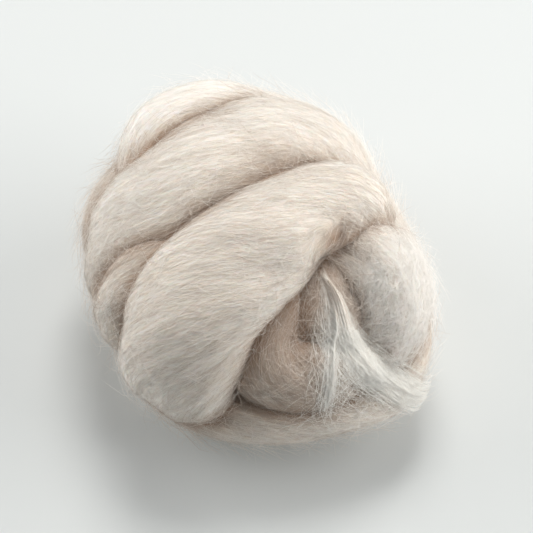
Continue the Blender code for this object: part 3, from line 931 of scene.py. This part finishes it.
def fan_ground(strands):
    """How far out the wraps' surface is under the loose end, and past its edges, on a grid."""
    points, faces = [], []
    for strand in strands:
        mesh = bpy.data.objects[strand.name].data
        first = len(points)
        points += [vertex.co[:] for vertex in mesh.vertices]
        faces += [[first + index for index in face.vertices] for face in mesh.polygons]
    tree = BVHTree.FromPolygons(points, faces)
    downs = np.linspace(0.0, FAN_PAST, FAN_DOWNS)
    acrosses = np.linspace(-FAN_MARGIN, 1.0 + FAN_MARGIN, FAN_ACROSSES)
    rays = fan_rays(*np.meshgrid(downs, acrosses, indexing="ij"))
    far = 2 * BALL_DEPTH
    reach = np.zeros(rays.shape[:2])
    for place in np.ndindex(reach.shape):
        ray = rays[place]
        hit = tree.ray_cast(Vector(MIDDLE + ray * far), Vector(-ray))
        reach[place] = far - hit[3]
    smooth = reach
    for _ in range(GROUND_SMOOTHINGS):
        smooth = np.maximum(reach, neighbours(np.pad(smooth, 1, mode="edge")))
    return smooth


def between_points(grid, down, across):
    """A value between the points of a grid that spans the fan."""
    rows, columns = grid.shape
    row, column = np.clip(down, 0.0, 1.0) * (rows - 1), np.clip(across, 0.0, 1.0) * (columns - 1)
    low, left = np.minimum(row.astype(int), rows - 2), np.minimum(column.astype(int), columns - 2)
    fall, aside = row - low, column - left
    top = grid[low, left] * (1 - aside) + grid[low, left + 1] * aside
    bottom = grid[low + 1, left] * (1 - aside) + grid[low + 1, left + 1] * aside
    return top * (1 - fall) + bottom * fall


def on_ground(ground, down, across):
    """How far out the wraps' surface is there, also past the fan's edges."""
    return between_points(ground, down / FAN_PAST, (across + FAN_MARGIN) / (1 + 2 * FAN_MARGIN))


def bundle_edges(bundle, down):
    """The bundle's left and right edges, that far down the fan."""
    downs, lefts, rights = zip(*bundle.rows)
    return np.interp(down, downs, lefts), np.interp(down, downs, rights)


def bundle_share(down, across):
    """How near a place is to the middle of a bundle: 1 there, 0 at its edges, below nought outside."""
    share = np.full(np.shape(across), -1.0)
    for bundle in BUNDLES.values():
        left, right = bundle_edges(bundle, down)
        near = 1.0 - np.abs(2 * across - left - right) / (right - left)
        share = np.where(down >= bundle.rows[0][0], np.maximum(share, near), share)
    return share


def fan_depth(down, across, shows):
    """The fan's thickness at its grid's corners, thinning to a rim at its edges."""
    ridge = smooth_step(bundle_share(down, across))
    wide = np.pad(shows, 1).astype(float)
    inside = wide[:-1, :-1] * wide[1:, :-1] * wide[:-1, 1:] * wide[1:, 1:]
    for _ in range(FAN_RIM_SMOOTHINGS):
        inside = np.minimum(inside, neighbours(np.pad(inside, 1)))
    sway = FAN_STREAK_SWAY * np.sin(FAN_STREAK_RATE * down)
    streak = FAN_STREAK_HEIGHT * np.cos(2 * pi * FAN_STREAKS * across + sway)
    return FAN_RIM_THICKNESS + (FAN_THICKNESS + FAN_RIDGE_HEIGHT * ridge + streak) * inside


def fan_shows(down, across):
    """Where the loose end holds together: in its bundles, down to their frayed ends."""
    frayed = sum(fray.depth * np.sin(fray.rate * across + fray.start) for fray in FRAYS)
    return (bundle_share(down, across) > 0) & (down < FAN_END + frayed)


def root_painted_shade_share(down):
    """How deep in the hollow above it the fan is, as a share of painted shade: 1 at its root, 0 where it
    comes out.
    """
    return smooth_step(1.0 - down / FAN_ROOT)


def grid_body(shows, inner, outer):
    """A closed body between two grids of points, made of the cells that show."""
    rows, columns = inner.shape[:2]
    faces = []
    for row, column in np.argwhere(shows):
        corners = [(row, column), (row + 1, column), (row + 1, column + 1), (row, column + 1)]
        low = [int(corner[0] * columns + corner[1]) for corner in corners]
        high = [index + rows * columns for index in low]
        faces += [low, high[::-1]]
        beside = [(row, column - 1), (row + 1, column), (row, column + 1), (row - 1, column)]
        for side, (near_row, near_column) in enumerate(beside):
            inside = 0 <= near_row < rows - 1 and 0 <= near_column < columns - 1
            if not (inside and shows[near_row, near_column]):
                after = (side + 1) % 4
                faces.append([low[after], low[side], high[side], high[after]])
    return np.vstack([inner.reshape(-1, 3), outer.reshape(-1, 3)]), faces


def fan_sheet(ground, material):
    """The loose end's own body: a thin closed sheet that lies on the wraps."""
    downs = np.linspace(0.0, 1.0, FAN_ROWS)
    acrosses = np.linspace(0.0, 1.0, FAN_COLUMNS)
    down, across = np.meshgrid(downs, acrosses, indexing="ij")
    cell_down, cell_across = np.meshgrid(downs[:-1], (acrosses[:-1] + acrosses[1:]) / 2, indexing="ij")
    shows = fan_shows(cell_down, cell_across)
    rays = fan_rays(down, across)
    under = on_ground(ground, down, across) + FAN_CLEARANCE
    depth = fan_depth(down, across, shows)
    inner, outer = MIDDLE + rays * under[..., None], MIDDLE + rays * (under + depth)[..., None]
    points, faces = grid_body(shows, inner, outer)
    used, fresh = np.unique(faces, return_inverse=True)
    piece = new_piece("loose_end", points[used], fresh.reshape(-1, 4).tolist(), material)
    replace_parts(piece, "loose_end")
    loops = np.empty(len(piece.data.loops), dtype=int)
    piece.data.loops.foreach_get("vertex_index", loops)
    down, across = np.tile(down.ravel(), 2)[used], np.tile(across.ravel(), 2)[used]
    half = (used >= FAN_ROWS * FAN_COLUMNS)[loops]
    u = MAP_MARGIN + (0.5 - 2 * MAP_MARGIN) * across[loops] + 0.5 * half
    set_map(piece, np.column_stack([u, MAP_MARGIN + (1 - 2 * MAP_MARGIN) * down[loops]]))
    width, length = FAN_FLOW_SIZE
    set_numbers(piece, "flow", np.column_stack([width * across, 0.0 * across, length * down]))
    # Painted shade: the sheet is painted darker at its root, in the hollow; past it the skin gets the ramp's
    # painted light.
    set_numbers(piece, "crease", FAN_ROOT_PAINTED_SHADE * root_painted_shade_share(down))
    return piece, depth


def fan_threads(name, kind, fan, down, across, lift):
    """Threads that run down and across the fan by these places, and rise towards its tips."""
    draw = fan.draw
    across = across + np.cumsum(draw.normal(0.0, kind.wander, down.shape), axis=1)
    t = np.linspace(0.0, 1.0, kind.steps)
    bow, stand = between(draw, kind.bows, len(down)), between(draw, kind.stands, len(down))
    rise = bow[:, None] * 4 * t * (1 - t) + stand[:, None] * t**2
    rise = rise + lift * smooth_step((down - FAN_LIFT_FROM) / (FAN_PAST - FAN_LIFT_FROM))
    inside = (across > 0) & (across < 1) & (down < FAN_END)
    on_sheet = np.where(inside, between_points(fan.depth, down, across), 0.0)
    rays = fan_rays(down, across)
    paths = MIDDLE + rays * (on_ground(fan.ground, down, across) + on_sheet + rise)[..., None]
    # Painted shade: threads near the fan's root are painted darker in tone.
    painted_shade = FAN_ROOT_PAINTED_SHADE * root_painted_shade_share(down.mean(axis=1))
    tones = np.clip(draw.normal(kind.tone, TONE_SPREAD, len(down)) - painted_shade, 0.0, 1.0)
    radii = between(draw, kind.radii, len(down))
    return fibre_piece(name, paths, facing(rays, kind), radii, tones, fan.material)


def fan_downs(kind, count, first, end, draw):
    """How far down the fan each fibre is at each of its steps, from the first place to near the end."""
    length = between(draw, kind.lengths, count)
    start = first + (end - first - length) * draw.uniform(0.0, 1.0, count)
    start = start + draw.normal(0.0, FAN_RAGGEDNESS, count)
    return start[:, None] + length[:, None] * np.linspace(0.0, 1.0, kind.steps)


def bundle_threads(name, bundle, fan):
    """One bundle's threads, which run down it between its edges and cross a little."""
    kind, size, draw = BUNDLE_FIBRE, (bundle.fibres, 1), fan.draw
    down = fan_downs(kind, bundle.fibres, bundle.rows[0][0] - BUNDLE_START, bundle.end, draw)
    left, right = bundle_edges(bundle, down)
    place = draw.normal(0.5, bundle.spread, size)
    place = place + draw.normal(0.0, kind.spread, size) * np.linspace(-1.0, 1.0, kind.steps)
    return fan_threads(f"loose_end_{name}", kind, fan, down, left + (right - left) * place, bundle.lift)


def veil_threads(fan):
    """The haze of threads that run every way over the fan and past its sides."""
    kind, size, draw = VEIL_FIBRE, (VEIL_FIBRES, 1), fan.draw
    down = fan_downs(kind, VEIL_FIBRES, *VEIL_DOWN, draw)
    across = between(draw, VEIL_ACROSS, size)
    across = across + draw.normal(0.0, kind.spread, size) * np.linspace(-0.5, 0.5, kind.steps)
    return fan_threads("loose_end_veil", kind, fan, down, np.clip(across, -FAN_MARGIN, 1 + FAN_MARGIN), 0.0)


def loose_end(strands, skin, material):
    ground = fan_ground(strands)
    sheet, depth = fan_sheet(ground, skin)
    fan = Fan(ground, depth, material, np.random.default_rng(FAN_SEED))
    threads = [bundle_threads(name, bundle, fan) for name, bundle in BUNDLES.items()]
    threads.append(veil_threads(fan))


# ---- materials


def feed(node, sockets):
    """Give each of the node's sockets its value, or link it to another node's output."""
    for name, value in sockets.items():
        if isinstance(value, bpy.types.NodeSocket):
            node.id_data.links.new(value, node.inputs[name])
        else:
            node.inputs[name].default_value = value


def new_node(tree, kind, sockets, **settings):
    made = tree.nodes.new(kind)
    for name, value in settings.items():
        setattr(made, name, value)
    feed(made, sockets)
    return made


def principled(name, finish):
    material = bpy.data.materials.new(name)
    material.use_nodes = True
    shader = material.node_tree.nodes["Principled BSDF"]
    sockets = {
        "Roughness": finish.roughness,
        "Specular IOR Level": SPECULAR,
        "Sheen Weight": finish.sheen,
        "Sheen Roughness": SHEEN_ROUGHNESS,
        "Subsurface Weight": finish.scatter,
        "Subsurface Radius": SCATTER_REACHES,
        "Subsurface Scale": SCATTER_DEPTH,
    }
    feed(shader, sockets)
    return material, shader


def ramp(tree, number, stops):
    """The colour between the stops for a number."""
    made = new_node(tree, "ShaderNodeValToRGB", {"Fac": number})
    while len(made.color_ramp.elements) < len(stops):
        made.color_ramp.elements.new(0.5)
    for element, (place, colour) in zip(made.color_ramp.elements, stops):
        element.position = place
        element.color = (*colour, 1.0)
    return made.outputs["Color"]


def noise_value(tree, vector, noise):
    sockets = {"Vector": vector, "Scale": noise.scale, "Detail": noise.detail, "Distortion": noise.distortion}
    return new_node(tree, "ShaderNodeTexNoise", sockets).outputs["Fac"]


def times(tree, under, over):
    """One colour multiplied by another."""
    sockets = {"Factor": 1.0, "A": under, "B": over}
    made = new_node(tree, "ShaderNodeMix", sockets, data_type="RGBA", blend_type="MULTIPLY")
    return made.outputs["Result"]


def wool_skin(name, finish, tones):
    """A skin of fibre: fine streaks along the flow, with painted shade, warmer and darker, deep in a crease.
    """
    material, shader = principled(name, finish)
    tree = material.node_tree
    flow = new_node(tree, "ShaderNodeAttribute", {}, attribute_name="flow").outputs["Vector"]
    along = new_node(tree, "ShaderNodeVectorMath", {0: flow, 1: STRETCH}, operation="MULTIPLY").outputs[0]
    # The "crease" number is painted shade; below the open level it paints the skin lighter, as painted light.
    crease = new_node(tree, "ShaderNodeAttribute", {}, attribute_name="crease").outputs["Fac"]
    streaks = noise_value(tree, along, STREAKS)
    colour = ramp(tree, streaks, list(zip(STREAK_PLACES, tones)))
    colour = times(tree, colour, ramp(tree, noise_value(tree, along, PATCHES), PATCH_STOPS))
    colour = times(tree, colour, ramp(tree, crease, PAINTED_LIGHT_AND_SHADE_STOPS))
    sockets = {"Strength": BUMP_STRENGTH, "Distance": BUMP_HEIGHT, "Height": streaks}
    bump = new_node(tree, "ShaderNodeBump", sockets)
    feed(shader, {"Base Color": colour, "Normal": bump.outputs["Normal"]})
    return material


def fibre_finish(name, stops):
    """A thread's finish: its tone is its place across the map."""
    material, shader = principled(name, THREAD)
    tree = material.node_tree
    place = new_node(tree, "ShaderNodeUVMap", {}, uv_map="OFBake").outputs["UV"]
    parts = new_node(tree, "ShaderNodeSeparateXYZ", {0: place})
    feed(shader, {"Base Color": ramp(tree, parts.outputs["X"], stops)})
    return material


# ---- the setting


def floor():
    mesh = bpy.data.meshes.new("floor")
    corners = [(x, y, 0.0) for y in (-FLOOR_SIZE, FLOOR_SIZE) for x in (-FLOOR_SIZE, FLOOR_SIZE)]
    mesh.from_pydata(corners, [], [(0, 1, 3, 2)])
    finish, shader = principled("pale_surface", FLOOR)
    feed(shader, {"Base Color": (*FLOOR_COLOUR, 1.0)})
    mesh.materials.append(finish)
    add_object("floor", mesh)


def sky():
    world = bpy.data.worlds.new("world")
    world.use_nodes = True
    feed(world.node_tree.nodes["Background"], {"Color": (*SKY_COLOUR, 1.0), "Strength": SKY_STRENGTH})
    bpy.context.scene.world = world


def add_lamp(lamp):
    light = bpy.data.lights.new(lamp.name, "AREA")
    light.size = lamp.size
    light.energy = lamp.power
    light.color = LAMP_COLOUR
    thing = add_object(lamp.name, light)
    thing.location = lamp.place
    aim = Vector(BALL_MIDDLE) - Vector(lamp.place)
    thing.rotation_euler = aim.to_track_quat("-Z", "Y").to_euler()


def camera():
    right, up, back = Vector(ACROSS), Vector(UP_FACE), Vector(OUTWARD)
    lens = bpy.data.cameras.new("camera")
    lens.sensor_width = SENSOR_WIDTH
    lens.lens = SENSOR_WIDTH * CAMERA_DISTANCE / (PHOTO_WIDTH * METRES_PER_PIXEL)
    view = add_object("camera", lens)
    place = Vector(BALL_MIDDLE) + right * VIEW_OFFSET[0] + up * VIEW_OFFSET[1] + back * CAMERA_DISTANCE
    view.matrix_world = Matrix.Translation(place) @ Matrix((right, up, back)).transposed().to_4x4()
    bpy.context.scene.camera = view


def main():
    skin = wool_skin("wool_skin", WOOL_SKIN, WOOL_TONES)
    thread = fibre_finish("wool_fibre", FIBRE_STOPS)
    strands = [wrap_strand(name, seed) for seed, name in enumerate(WRAPS, start=1)]
    strands.append(foot_strand(len(strands) + 1))
    strands.append(core_strand(len(strands) + 1))
    for strand in strands:
        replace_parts(strand_piece(strand, strands, skin), "wound_ball")
        dress(strand, strands, thread)
    tip_skin = wool_skin("tip_skin", TIP_SKIN, TIP_TONES)
    tip_thread = fibre_finish("tip_fibre", TIP_FIBRE_STOPS)
    loose_end(strands, tip_skin, tip_thread)
    camera()
    floor()
    sky()
    for lamp in LAMPS:
        add_lamp(lamp)
    bpy.context.scene.view_settings.view_transform = "Standard"


main()
